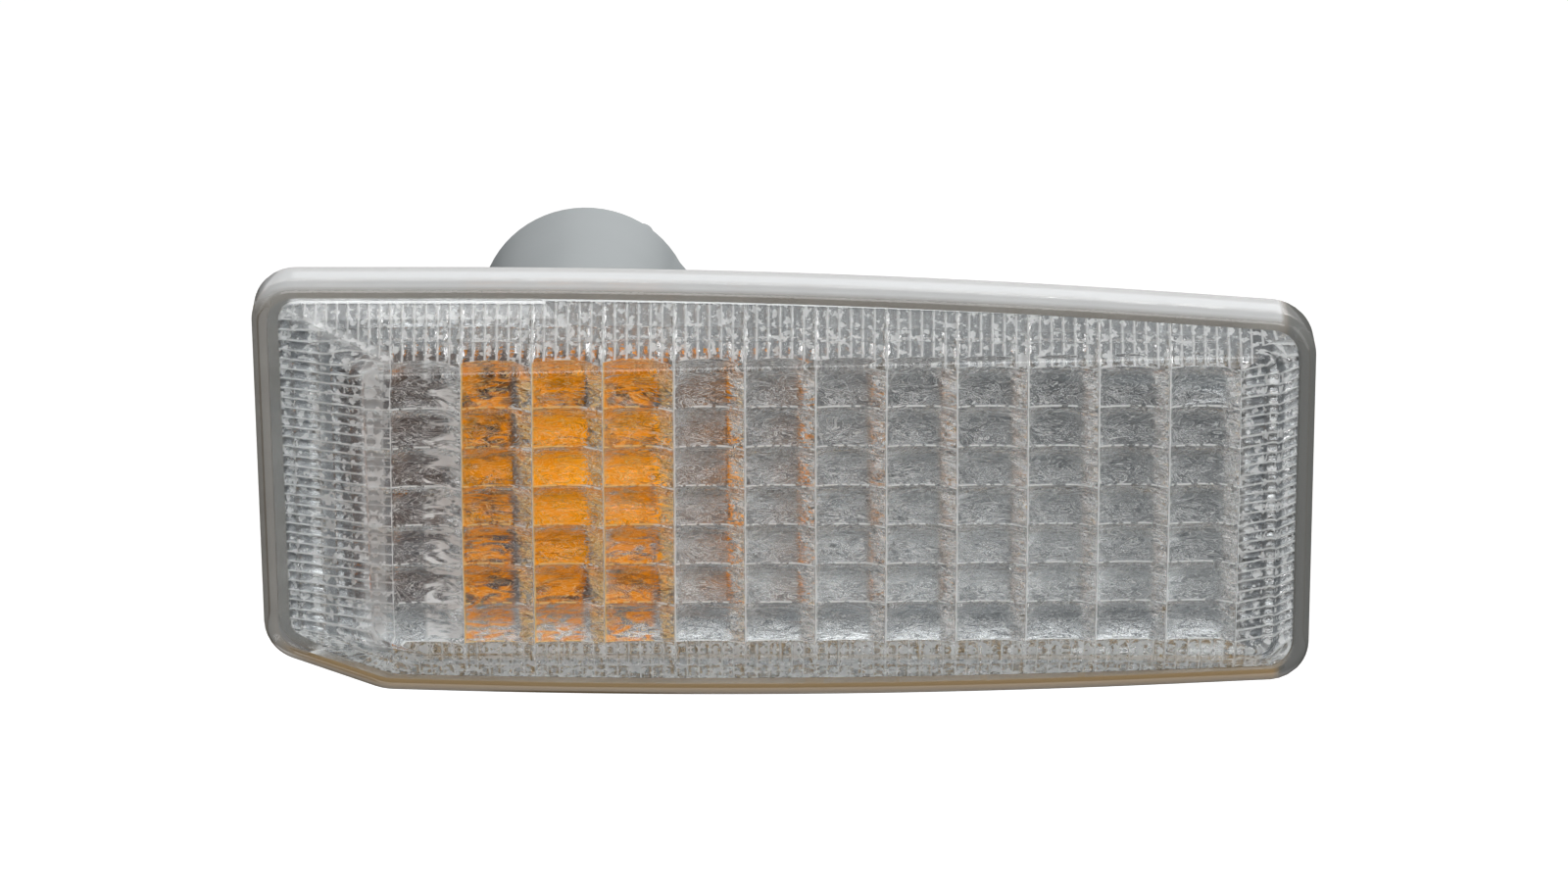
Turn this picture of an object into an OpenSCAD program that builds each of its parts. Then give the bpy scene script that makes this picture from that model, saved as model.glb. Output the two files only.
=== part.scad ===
// Side indicator lamp: a clear prismatic lens welded on a grey moulded housing, with an amber
// wedge bulb in a twist-in holder. Sizes are millimetres. X runs along the lamp, Y backwards
// into the panel and Z up. The origin lies in the plane where the gasket seats on the panel.

/* [Lens outline] */
// Length of the lens from its left edge to its right edge
lamp_length = 98; // [60:0.1:160]
// Height of the flat left part of the top edge above the origin
top_height = 20.5; // [12:0.1:30]
// How far the right end of the top edge lies below its left end
top_fall = 3.4; // [0:0.1:8]
// Share of the top edge's right part that the long bow takes up
top_bow = 0.983; // [0.3:0.001:0.99]
// Depth of the sharp bottom bow below the origin
bottom_depth = 20.95; // [12:0.05:30]
// Share of the bottom edge's right part that the long bow takes up
bottom_bow = 0.91; // [0.3:0.001:0.99]
// How far the right lower corner lies above the bottom
right_rise = 2.3; // [0:0.05:6]
// How far the left edge leans inwards on its way down
left_lean = 0.58; // [0:0.01:3]
// Height of the cut corner on the left edge
cut_height = 4.05; // [1:0.05:10]
// Length along the bottom that the cut corner takes
cut_length = 11; // [3:0.1:20]
// How far the end of the cut corner lies above the bottom
cut_rise = 1.2; // [0:0.05:4]
// Radius of the upper left corner
radius_top_left = 3.9; // [1:0.1:10]
// Radius of the upper right corner
radius_top_right = 4.3; // [1:0.1:10]
// Radius of the lower right corner
radius_bottom_right = 3.8; // [1:0.1:10]
// Radius at both ends of the cut corner
radius_cut = 4; // [1:0.1:10]

/* [Lens section] */
// Distance of the lens skirt's rear edge in front of the seat
skirt_rear = 1.2; // [0.4:0.1:3]
// Distance of the rim's front in front of the seat
rim_front = 6.4; // [4:0.1:10]
// Thickness of the skirt
skirt_wall = 1.5; // [0.8:0.1:3]
// Width of the rounded rim before the slopes start
rim_width = 1.45; // [0.8:0.05:3]
// Width of the lens ledge that rests on the flange, measured from the outline
ledge_inset = 2.6; // [1.8:0.1:5]
// How far the raised window stands in front of the rim at the middle of the lamp
window_rise = 3.95; // [1:0.05:8]
// Wedge of the window: depth lost for each millimetre towards the right
window_wedge = 0.0119; // [0:0.0001:0.05]
// Thickness of the window before its pillows
window_wall = 2; // [1:0.1:4]

/* [Window and pillows] */
// Left end of the pillow grid
grid_left = -36.1; // [-46:0.05:-20]
// Pitch of the columns
column_pitch = 6.5; // [3:0.05:12]
// Number of columns
columns = 12; // [4:1:20]
// Bottom of the pillow grid
grid_bottom = -13.65; // [-18:0.05:-5]
// Pitch of the rows
row_pitch = 3.79; // [2:0.01:8]
// Number of rows
rows = 7; // [3:1:12]
// Height of a pillow from its long sides
pillow_rise = 0.75; // [0.1:0.01:1.5]
// Height of a pillow from its short ends
pillow_end_rise = 0.9; // [0.1:0.01:1.5]
// Where a pillow is highest between its long sides, from 0 at the bottom to 1 at the top
pillow_peak_up = 0.62; // [0.3:0.01:0.7]
// Where a pillow is highest between its short ends, from 0 at the left to 1 at the right
pillow_peak_along = 0.42; // [0.3:0.01:0.7]
// Number of border ribs for each column
ribs_per_column = 6; // [2:1:10]
// Pitch of the ribs at the two ends
end_rib_pitch = 1; // [0.5:0.05:3]
// Height of the border ribs
rib_rise = 0.45; // [0.1:0.05:1]

/* [Housing] */
// Thickness of the flange
flange_thick = 1.6; // [1:0.1:3]
// Clearance of the flange and the gasket inside the lens skirt
flange_clearance = 0.05; // [0.01:0.01:0.3]
// Distance from the outline to the outside of the bowl
bowl_inset = 6.6; // [4:0.1:12]
// Wall thickness of the bowl
bowl_wall = 1.6; // [1:0.1:3]
// Where the bowl is deepest, along the lamp
deep_x = -20.5; // [-40:0.1:20]
// Depth of the bowl there
deep_y = 21; // [12:0.1:40]
// Slope of the rear wall towards the right
slope_right = 13; // [0:1:40]
// Slope of the rear wall towards the left
slope_left = 36; // [0:1:60]
// Height of the bowl's roof at its deepest place
roof_rear = 12.6; // [8:0.1:18]
// Depth of the bowl's floor at its deepest place
floor_rear = 12.4; // [8:0.1:18]
// How far the roof and the floor draw in over the depth of the bowl
draw = 2; // [0.5:0.1:5]

/* [Socket] */
// Position of the socket along the lamp
socket_x = -19.7; // [-40:0.05:20]
// Height of the socket's axis
socket_z = -1.2; // [-8:0.05:8]
// Distance of the socket's rear rim behind the seat
socket_rear = 51; // [30:0.1:70]
// Outer radius of the socket tube
socket_radius = 10.5; // [8:0.01:16]
// Radius of the bore that the holder turns in
bore_radius = 7.7; // [6:0.05:12]
// Where the bore starts
bore_front = 36.5; // [20:0.1:60]
// Radius reached by the bayonet lugs
lug_radius = 8.9; // [7:0.05:14]
// Width of each lug in degrees
lug_width = 26; // [10:1:60]
// Thickness of each lug
lug_thick = 1.9; // [0.8:0.1:4]
// Turn from locked to released in degrees
release_turn = 50; // [20:1:80]
// Radial clearance of the holder in the bore
bore_clearance = 0.05; // [0.01:0.01:0.3]
// Clearance around the lugs
lug_clearance = 0.1; // [0.02:0.01:0.5]

/* [Holder and contacts] */
// Radius of the cap
cap_radius = 9.3; // [8:0.1:16]
// Thickness of the cap
cap_thick = 1.7; // [1:0.1:4]
// Thickness of the flat seal
seal_thick = 0.9; // [0.4:0.1:2]
// Front of the holder's tower
tower_front = 24.5; // [15:0.1:40]
// Radius of the tower
tower_radius = 6.3; // [5.8:0.1:7.6]
// Outer width of the connector shroud
shroud_width = 13; // [8:0.1:20]
// Outer height of the connector shroud
shroud_height = 8.6; // [5:0.1:14]
// Wall of the connector shroud
shroud_wall = 1.2; // [0.6:0.1:3]
// Rear end of the shroud
shroud_rear = 65; // [48:0.1:80]
// Width of the contact blades
blade_width = 2.8; // [1:0.1:6]
// Thickness of the contact strip
blade_thick = 0.6; // [0.3:0.05:1.2]
// Distance of each blade from the holder's axis
blade_offset = 2.6; // [1:0.1:6]
// Rear end of the blades
blade_rear = 60.4; // [46:0.1:78]

/* [Bulb] */
// Radius of the bulb glass
bulb_radius = 7.5; // [3:0.05:10]
// Radius of the glass's neck
neck_radius = 5.1; // [3:0.05:8]
// Length of the straight part of the neck
neck_length = 2.2; // [0.5:0.1:6]
// Length over which the glass narrows to its neck
neck_taper = 3.8; // [1:0.1:8]
// Wall of the bulb glass
bulb_wall = 0.6; // [0.3:0.05:1.5]
// Distance of the bulb's tip behind the seat
bulb_tip = 0.5; // [0:0.1:20]
// Length of the bulb's round part
glass_length = 25.5; // [10:0.1:40]
// Length of the bulb's flat base behind it
base_length = 9.1; // [4:0.1:20]
// Width of the flat base
base_width = 9.4; // [5:0.1:14]
// Thickness of the flat base
base_thick = 2.6; // [1:0.1:5]
// Clearance around the glass in the holder's mouth
bulb_clearance = 0.3; // [0.05:0.05:1]
// Clearance around the flat base in its slot
base_clearance = 0.15; // [0.05:0.05:0.5]
// Radius of the lead wires
wire_radius = 0.25; // [0.1:0.01:0.6]
// Half of the distance between the lead wires at the filament
filament_reach = 1.9; // [0.5:0.1:4]
// Radius of the filament's coil
coil_radius = 0.3; // [0.1:0.01:1]

/* [Gasket and spring] */
// Thickness of the gasket
gasket_thick = 1.8; // [0.8:0.1:4]
// Distance from the outline to the gasket's inner edge
gasket_inset = 4.2; // [2:0.1:8]
// Reach of the locating nose past the bowl
nose_reach = 2.1; // [0.5:0.05:5]
// Width of the locating nose
nose_width = 9; // [3:0.1:16]
// Gap between the seat and the nose, for the panel sheet
panel_gap = 1.3; // [0.6:0.1:3]
// Thickness of the spring leaf
leaf_thick = 0.4; // [0.2:0.05:1]
// Width of the spring's leg
leg_width = 9; // [4:0.1:16]
// Length of the spring's leg
leg_length = 6.6; // [4:0.1:12]
// How far the spring's arm bulges past its leg
arm_bulge = 2.8; // [1:0.1:5]
// Width of the spring's arm
arm_width = 7; // [3:0.1:14]
// Clearance between the leg and its guides
guide_clearance = 0.05; // [0.01:0.01:0.3]

/* [Hidden] */
$fn = 96;

half_length = lamp_length / 2;
flange_rear = -gasket_thick;
flange_front = flange_rear - flange_thick;
window_front = -rim_front - window_rise;
grid_right = grid_left + columns * column_pitch;
grid_top = grid_bottom + rows * row_pitch;

// sharp corners of the lens outline seen from the front, clockwise
points = [
    [-half_length, top_height],
    [0.08 * half_length, top_height],
    [half_length, top_height - top_fall],
    [half_length - 0.05, -bottom_depth + right_rise],
    [0.04 * half_length, -bottom_depth],
    [-half_length + left_lean + cut_length, -bottom_depth + cut_rise],
    [-half_length + left_lean, -bottom_depth + cut_rise + cut_height]
];
// a bow keeps its ends clear of the next corners, also on the innermost outline of the housing,
// and the blunt cut corner needs less room than the square ones
bow_room = bowl_inset + bowl_wall + 1.2;
function bow_radius(i, share, room_after) = let(
    p = points[i] - points[i - 1], q = points[i + 1] - points[i],
    turn = acos(p * q / (norm(p) * norm(q))))
    share * min(norm(p) - bow_room, norm(q) - room_after) / tan(turn / 2);
top_bow_radius = bow_radius(1, top_bow, bow_room);
bottom_bow_radius = bow_radius(4, bottom_bow, 0.2 * bow_room);
corner_radii = [radius_top_left, top_bow_radius, radius_top_right, radius_bottom_right,
    bottom_bow_radius, 1.5 * radius_cut, radius_cut];

function corner(i) = points[(i + 7) % 7];
function unit(v) = v / norm(v);
function along(i) = unit(corner(i + 1) - corner(i));
function inward(i) = [along(i)[1], -along(i)[0]];
function mitre(i) = (inward(i - 1) + inward(i)) / (1 + inward(i - 1) * inward(i));
function kept_radius(i, inset) = max(corner_radii[i] - inset, min(corner_radii[i], 1.2));
function turned(i, t) = let(a = inward(i - 1), b = inward(i), w = acos(a * b))
    (sin((1 - t) * w) * a + sin(t * w) * b) / sin(w);

// the outline drawn in by an inset, with every corner rounded
function outline(inset, n = 8) = [
    for (i = [0:6])
        let(r = kept_radius(i, inset), c = corner(i) + mitre(i) * (inset + r))
            for (k = [0:n]) c - r * turned(i, k / n)
];

// a flat plate with the outline's shape between two depths
module plate(inset, front, rear) {
    translate([0, rear, 0])
        rotate([90, 0, 0])
            linear_extrude(rear - front)
                polygon(outline(inset));
}

// the outline as a thin sheet for lofts
module sheet(inset, y, n = 6) {
    translate([0, y, 0])
        rotate([90, 0, 0])
            linear_extrude(0.01)
                polygon(outline(inset, n));
}

// a four-sided sheet that leans with the window's wedge
module window_sheet(points, y) {
    multmatrix([[1, 0, 0, 0], [window_wedge, 1, 0, y], [0, 0, 1, 0]])
        rotate([90, 0, 0])
            linear_extrude(0.01)
                polygon(points);
}

// a strip of constant thickness along a path in the plane
function side(p, i, t) =
    let(n = len(p), a = unit(p[max(i, 1)] - p[max(i, 1) - 1]),
        b = unit(p[min(i, n - 2) + 1] - p[min(i, n - 2)]),
        na = [-a[1], a[0]], nb = [-b[1], b[0]])
    p[i] + t / 2 * (na + nb) / (1 + na * nb);
function ribbon(p, t) = concat(
    [for (i = [0:len(p) - 1]) side(p, i, t)],
    [for (i = [len(p) - 1:-1:0]) side(p, i, -t)]
);

// places a shape drawn along Z on the socket's axis, pointing backwards
module on_socket() {
    translate([socket_x, 0, socket_z])
        rotate([-90, 0, 0])
            children();
}

// a straight round rod between two points
module rod(p, q, r) {
    v = q - p;
    translate(p)
        rotate([0, acos(v[2] / norm(v)), atan2(v[1], v[0])])
            cylinder(r = r, h = norm(v), $fn = 24);
}

// the raised window's outer edge and the rounded edge just inside it
window_edge = [[-38.6, 13.5], [45.5, 15], [45.5, -14.9], [-33.5, -14.4], [-38.1, -12.9]];
function drawn_in(p, d) = let(cx = 3.5, cz = 0)
    [for (v = p) [v[0] - d * sign(v[0] - cx), v[1] - d * sign(v[1] - cz)]];

// outside of the lens: rounded rim, slopes and raised window
module lens_outside() {
    hull() {
        sheet(0.25, -skirt_rear);
        sheet(0, -skirt_rear - 0.4);
        sheet(0, -rim_front + 1.2);
    }
    hull() {
        sheet(0, -rim_front + 1.2);
        sheet(0.35, -rim_front + 0.35);
    }
    hull() {
        sheet(0.35, -rim_front + 0.35);
        sheet(1.1, -rim_front);
    }
    hull() {
        sheet(rim_width, -rim_front + 0.2);
        window_sheet(window_edge, window_front + 0.5);
    }
    hull() {
        window_sheet(window_edge, window_front + 0.5);
        window_sheet(drawn_in(window_edge, 0.8), window_front);
    }
}

// inside of the lens: room for the flange, then slopes up to the pillows
pocket_left = grid_left - 0.25;
pocket_right = grid_right + 0.25;
pocket_top = grid_top + 0.2;
pocket_bottom = grid_bottom - 0.2;
pocket = [[pocket_left, pocket_top], [pocket_right, pocket_top],
    [pocket_right, pocket_bottom], [pocket_left, pocket_bottom]];
slope_start = flange_front - 0.9;
window_back = window_front + window_wall;
module lens_inside() {
    hull() {
        sheet(skirt_wall, -skirt_rear + 1);
        sheet(skirt_wall, flange_front);
    }
    hull() {
        sheet(ledge_inset, flange_front + 0.5);
        sheet(ledge_inset, slope_start);
    }
    hull() {
        sheet(ledge_inset, slope_start);
        window_sheet(pocket, window_back);
    }
}

// a block between two grids of points, given row by row: the front one and the back one
module field(front, back, nx, nz) {
    m = (nx + 1) * (nz + 1);
    function at(i, j) = j * (nx + 1) + i;
    polyhedron(points = concat(front, back), faces = concat(
        [for (j = [0:nz - 1]) for (i = [0:nx - 1]) for (h = [0, 1])
            h == 0 ? [at(i, j), at(i + 1, j + 1), at(i + 1, j)]
                : [at(i, j), at(i, j + 1), at(i + 1, j + 1)]],
        [for (j = [0:nz - 1]) for (i = [0:nx - 1]) for (h = [0, 1])
            h == 0 ? [m + at(i, j), m + at(i + 1, j), m + at(i + 1, j + 1)]
                : [m + at(i, j), m + at(i + 1, j + 1), m + at(i, j + 1)]],
        [for (i = [0:nx - 1]) [at(i, 0), at(i + 1, 0), m + at(i + 1, 0), m + at(i, 0)]],
        [for (i = [0:nx - 1]) [at(i + 1, nz), at(i, nz), m + at(i, nz), m + at(i + 1, nz)]],
        [for (j = [0:nz - 1]) [at(0, j + 1), at(0, j), m + at(0, j), m + at(0, j + 1)]],
        [for (j = [0:nz - 1]) [at(nx, j), at(nx, j + 1), m + at(nx, j + 1), m + at(nx, j)]]
    ));
}

// all pillows in one block: convex in both directions, steeper at the right end and above the
// middle, with sharp valleys between them
pu = 4;
pv = 3;
function hump(t, peak, power) = t < peak
    ? 1 - pow((peak - t) / peak, 2)
    : 1 - pow((t - peak) / (1 - peak), power);
function window_y(x) = window_back + window_wedge * x;
function pillow_rise_at(i, j) = 0.05
    + pillow_end_rise * hump((i % pu) / pu, pillow_peak_along, 4)
    + pillow_rise * hump((j % pv) / pv, pillow_peak_up, 2);
function pillow_points(back) = [for (j = [0:rows * pv]) for (i = [0:columns * pu])
    let(x = grid_left + i * column_pitch / pu, z = grid_bottom + j * row_pitch / pv)
        [x, window_y(x) + (back ? pillow_rise_at(i, j) : -0.8), z]];
module pillows() {
    field(pillow_points(false), pillow_points(true), columns * pu, rows * pv);
}

// a point on an inner slope: t = 0 at the ledge and 1 at the window
function on_slope(outer, inner, t) = let(
    a = [outer[0], slope_start, outer[1]],
    b = [inner[0], window_y(inner[0]), inner[1]]) a + t * (b - a);

// two bands of ribs on one slope, with a plain step between them
bands = [[0.03, 1], [0.47, 1], [0.53, 0.1], [0.98, 1]];
module ribs(outer, inner, band, count) {
    field(
        [for (s = band) for (k = [0:2 * count])
            on_slope(outer[k], inner[k], s[0]) - [0, 0.5, 0]],
        [for (s = band) for (k = [0:2 * count])
            on_slope(outer[k], inner[k], s[0]) + [0, 0.06 + (k % 2) * rib_rise * s[1], 0]],
        2 * count, len(band) - 1
    );
}
function top_at(x) = top_height - ledge_inset
    - (x > -31 ? pow(x + 31, 2) / (2 * top_bow_radius) : 0);
function bottom_at(x) = -bottom_depth + ledge_inset + 0.73 + pow(x + 6, 2) / (2 * bottom_bow_radius);

module border_ribs() {
    n = columns * ribs_per_column;
    xs = [for (k = [0:2 * n]) grid_left + k * (grid_right - grid_left) / (2 * n)];
    ribs([for (x = xs) [x, bottom_at(x)]], [for (x = xs) [x, pocket_bottom]], bands, n);
    ribs([for (k = [2 * n:-1:0]) [xs[k], top_at(xs[k])]],
        [for (k = [2 * n:-1:0]) [xs[k], pocket_top]], bands, n);
    m = round((grid_top - grid_bottom) / end_rib_pitch);
    zs = [for (k = [0:2 * m]) grid_top - k * (grid_top - grid_bottom) / (2 * m)];
    ribs([for (z = zs) [-half_length + ledge_inset + 0.35, z]],
        [for (z = zs) [pocket_left, z]], bands, m);
    ribs([for (k = [2 * m:-1:0]) [half_length - ledge_inset, zs[k]]],
        [for (k = [2 * m:-1:0]) [pocket_right, zs[k]]], bands, m);
}

// the fan of wide ribs over the cut corner, leaning towards the window's corner
corner_count = 9;
module corner_ribs() {
    a = mitre(6) * ledge_inset + corner(6) + [0.5, 0];
    b = mitre(5) * ledge_inset + corner(5) - [0.3, 0];
    os = [for (k = [0:2 * corner_count]) a + (b - a) * k / (2 * corner_count)];
    ribs(os, [for (o = os) [pocket_left, pocket_bottom]], [[0.03, 1], [0.5, 1]], corner_count);
}

module lens() {
    color([0.92, 0.94, 0.95, 0.45])
        union() {
            difference() {
                lens_outside();
                lens_inside();
            }
            pillows();
            border_ribs();
            corner_ribs();
        }
}

function rear_y(x, back) = x < deep_x
    ? deep_y - back / cos(slope_left) - (deep_x - x) * tan(slope_left)
    : deep_y - back / cos(slope_right) - (x - deep_x) * tan(slope_right);
function plan(back) = let(
    a = back / cos(slope_left), b = back / cos(slope_right),
    d = (a - b) / (tan(slope_left) + tan(slope_right)), apex = deep_x + d)
    [[-half_length, -deep_y], [-half_length, rear_y(-half_length, back)],
        [apex, rear_y(apex, back)], [half_length, rear_y(half_length, back)],
        [half_length, -deep_y]];
function profile(back) = [[-deep_y, -2 * bottom_depth], [-deep_y, 2 * top_height],
    [0, roof_rear + draw - back], [deep_y, roof_rear - back],
    [1.5 * deep_y, roof_rear - back - 0.6], [1.5 * deep_y, -floor_rear + back + 0.6],
    [deep_y, -floor_rear + back], [0, -floor_rear - draw + back]];

// the bowl's body: outline, plan and side profile together
module bowl(inset, back, front) {
    intersection() {
        plate(inset, front, deep_y + 5);
        translate([0, 0, -2 * bottom_depth])
            linear_extrude(2 * (bottom_depth + top_height))
                polygon(plan(back));
        translate([-lamp_length, 0, 0])
            rotate([90, 0, 90])
                linear_extrude(2 * lamp_length)
                    polygon(profile(back));
    }
}

tube_front = deep_y - 10;
fairing_angle = 44;
fairing_reach = socket_radius + 1.78;
nose_tip = -half_length + bowl_inset + 0.28 - nose_reach;
nose_z = 1;
pad_x = half_length - bowl_inset + 0.1;
groove_front = bore_front + 1;
groove_rear = groove_front + lug_thick + 2 * lug_clearance;
groove_radius = lug_radius + lug_clearance;

module housing() {
    color([0.62, 0.655, 0.665]) {
        difference() {
            union() {
                plate(skirt_wall + flange_clearance, flange_front, flange_rear);
                bowl(bowl_inset, 0, flange_rear - 0.2);
                on_socket()
                    translate([0, 0, tube_front])
                        cylinder(r = socket_radius, h = socket_rear - tube_front);
                // flat-sided fairing that runs off the tube to the right
                translate([socket_x, socket_rear - 0.8, socket_z])
                    rotate([90, 0, 0])
                        linear_extrude(socket_rear - tube_front - 0.8)
                            polygon([[0, 0],
                                [socket_radius * cos(fairing_angle), socket_radius * sin(fairing_angle)],
                                [fairing_reach, 1.4], [fairing_reach, -1.4],
                                [socket_radius * cos(fairing_angle), -socket_radius * sin(fairing_angle)]]);
                // locating nose with its gusset
                translate([0, 0, nose_z - nose_width / 2])
                    linear_extrude(nose_width)
                        polygon([[nose_tip, panel_gap], [nose_tip + 4, panel_gap],
                            [nose_tip + 4, panel_gap + 6.4], [nose_tip + nose_reach, panel_gap + 6.4],
                            [nose_tip, panel_gap + 2]]);
                spring_seat();
            }
            bowl(bowl_inset + bowl_wall, bowl_wall, flange_front - 1);
            on_socket() {
                // clear way for the bulb, then the bore that the holder turns in
                translate([0, 0, tube_front - 1])
                    cylinder(r = socket_radius - bowl_wall, h = bore_front - tube_front + 1);
                translate([0, 0, bore_front - 1])
                    cylinder(r = bore_radius, h = socket_rear - bore_front + 2);
                for (a = [90, 210, 330]) {
                    // groove that the lug turns in
                    rotate([0, 0, a - lug_width / 2 - 0.6])
                        translate([0, 0, groove_front])
                            rotate_extrude(angle = release_turn + lug_width + 1.2)
                                translate([bore_radius - 1, 0])
                                    square([groove_radius - bore_radius + 1,
                                        groove_rear - groove_front]);
                    // slot that lets the lug in from behind
                    rotate([0, 0, a + release_turn - lug_width / 2 - 2])
                        translate([0, 0, groove_front + 0.5])
                            rotate_extrude(angle = lug_width + 4)
                                translate([bore_radius - 1, 0])
                                    square([groove_radius + lug_clearance - bore_radius + 1,
                                        socket_rear - groove_front]);
                }
            }
        }
    }
}

// pad, two guides with lips, and front stop for the spring
lip = 0.8;
guide_length = 7.6;
module spring_seat() {
    translate([pad_x - 1.2, 0.9, nose_z - leg_width / 2 - 1.3])
        cube([1.2, guide_length, leg_width + 2.6]);
    translate([pad_x - 0.4, 0.9, nose_z - leg_width / 2 - 1.3])
        cube([1.7, 0.8, leg_width + 2.6]);
    for (s = [0, 1])
        translate([0, 0, nose_z])
            mirror([0, 0, s]) {
                translate([pad_x - 0.4, 0.9, leg_width / 2 + guide_clearance])
                    cube([1.7, guide_length, 1.3 - guide_clearance]);
                translate([pad_x + leaf_thick + guide_clearance, 0.9, leg_width / 2 - lip])
                    cube([1.3 - leaf_thick - guide_clearance, guide_length, lip + 0.2]);
            }
}

module rim_gasket() {
    color([0.36, 0.33, 0.29])
        difference() {
            plate(skirt_wall + flange_clearance, -gasket_thick, 0);
            plate(gasket_inset, -gasket_thick - 1, 1);
        }
}

leg_x = pad_x + leaf_thick / 2;
leg_front = 2;
spring_leg = [[leg_x, leg_front + leg_length], [leg_x, leg_front]];
spring_arm = [[leg_x, leg_front + 1], [leg_x, leg_front + 0.2], [leg_x + 0.25, leg_front],
    for (p = [[0.32, 0.014], [0.64, 0.16], [0.98, 0.41], [1, 0.5], [0.79, 0.74], [0.46, 1]])
        [leg_x + p[0] * arm_bulge, leg_front + p[1] * (leg_length + 0.4)]];
module retaining_spring() {
    color([0.62, 0.63, 0.64]) {
        translate([0, 0, nose_z - leg_width / 2])
            linear_extrude(leg_width)
                polygon(ribbon(spring_leg, leaf_thick));
        translate([0, 0, nose_z - arm_width / 2])
            linear_extrude(arm_width)
                polygon(ribbon(spring_arm, leaf_thick));
    }
}

cap_front = socket_rear + seal_thick;
shoulder = bulb_tip + glass_length;
cap_rear = cap_front + cap_thick;
base_rear = shoulder + base_length;
wire_z = base_thick / 2 + wire_radius;
finger_z = base_thick / 2 + 2 * wire_radius + blade_thick / 2;
slot_rear = base_rear + 2 * wire_radius + 0.1;
contact_path = [[shoulder + 2.8, finger_z + 0.5], [shoulder + 3.6, finger_z], [slot_rear, finger_z],
    [slot_rear + 2.4, 0], [blade_rear, 0]];

// the contact strip, for the strip itself and for the passage moulded around it
module contact_strip(sign, x, from = 0) {
    path = [for (k = [from:len(contact_path) - 1]) contact_path[k]];
    translate([socket_x + x - blade_width / 2, 0, socket_z])
        rotate([90, 0, 90])
            linear_extrude(blade_width)
                polygon([for (p = ribbon(path, blade_thick)) [p[0], sign * p[1]]]);
}

module rounded_bar(w, h, r, y0, y1) {
    translate([0, 0, y0])
        linear_extrude(y1 - y0)
            union() {
                square([w - 2 * r, h], center = true);
                square([w, h - 2 * r], center = true);
                for (x = [-1, 1])
                    for (z = [-1, 1])
                        translate([x * (w / 2 - r), z * (h / 2 - r)])
                            circle(r = r);
            }
}

module bulb_holder() {
    color([0.56, 0.58, 0.59]) {
        difference() {
            union() {
                on_socket() {
                    translate([0, 0, tower_front])
                        cylinder(r = tower_radius, h = bore_front - tower_front + 2);
                    translate([0, 0, bore_front + 0.4])
                        cylinder(r = bore_radius - bore_clearance, h = cap_rear - bore_front - 0.9);
                    translate([0, 0, cap_front])
                        cylinder(r = cap_radius, h = cap_thick);
                    for (a = [90, 210, 330])
                        rotate([0, 0, a - lug_width / 2])
                            translate([0, 0, groove_front + lug_clearance])
                                rotate_extrude(angle = lug_width)
                                    translate([bore_radius - 1.5, 0])
                                        square([lug_radius - bore_radius + 1.5, lug_thick]);
                    rounded_bar(shroud_width, shroud_height, 1.2, cap_rear - 0.5, shroud_rear);
                    // grip wings
                    translate([-cap_radius + 0.3, -1.3, cap_rear - 0.5])
                        cube([2 * cap_radius - 0.6, 2.6, 7]);
                }
            }
            on_socket() {
                translate([0, 0, tower_front - 1])
                    cylinder(r = neck_radius + bulb_clearance, h = shoulder + 3.4 - tower_front);
                translate([-base_width / 2 - base_clearance, -base_thick / 2 - base_clearance,
                    tower_front])
                    cube([base_width + 2 * base_clearance, base_thick + 2 * base_clearance,
                        slot_rear - tower_front]);
                // rooms for the two contact fingers, one above the base and one below it
                translate([-blade_offset - blade_width / 2 - 0.1, -finger_z - 1, tower_front])
                    cube([blade_width + 0.2, finger_z + 1, slot_rear - tower_front]);
                translate([blade_offset - blade_width / 2 - 0.1, 0, tower_front])
                    cube([blade_width + 0.2, finger_z + 1, slot_rear - tower_front]);
                rounded_bar(shroud_width - 2 * shroud_wall, shroud_height - 2 * shroud_wall,
                    0.6, cap_rear + 2, shroud_rear + 1);
            }
            contact_strip(1, -blade_offset, 1);
            contact_strip(-1, blade_offset, 1);
        }
    }
}

module holder_seal() {
    color([0.13, 0.13, 0.14])
        on_socket()
            translate([0, 0, socket_rear])
                rotate_extrude()
                    translate([bore_radius - bore_clearance, 0])
                        square([cap_radius - 0.3 - bore_radius + bore_clearance, seal_thick]);
}

module contact_left() {
    color([0.80, 0.62, 0.30])
        contact_strip(1, -blade_offset);
}

module contact_right() {
    color([0.80, 0.62, 0.30])
        contact_strip(-1, blade_offset);
}

function dome(r, tip) = [for (a = [0:7.5:90]) [r * sin(a), tip + r * (1 - cos(a))]];
neck_front = shoulder - neck_length;
taper_front = neck_front - neck_taper;
function bulb_section() = let(i = bulb_radius - bulb_wall, n = neck_radius - bulb_wall) concat(
    dome(bulb_radius, bulb_tip),
    [[bulb_radius, taper_front], [bulb_radius - 0.4, taper_front + 0.35 * neck_taper],
        [neck_radius + 0.4, neck_front - 0.2 * neck_taper], [neck_radius, neck_front],
        [neck_radius, shoulder], [neck_radius - 0.5, shoulder + 1], [3.6, shoulder + 1.9],
        [0, shoulder + 2.2], [0, shoulder - 0.6], [n - 1, shoulder - 0.6], [n, shoulder - 1.4],
        [n, neck_front - 0.3], [n + 0.4, neck_front - 0.3 * neck_taper],
        [i - 0.4, taper_front + 0.25 * neck_taper], [i, taper_front - 0.3]],
    [for (a = [90:-7.5:0]) [i * sin(a), bulb_tip + bulb_wall + i * (1 - cos(a))]]
);

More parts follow.
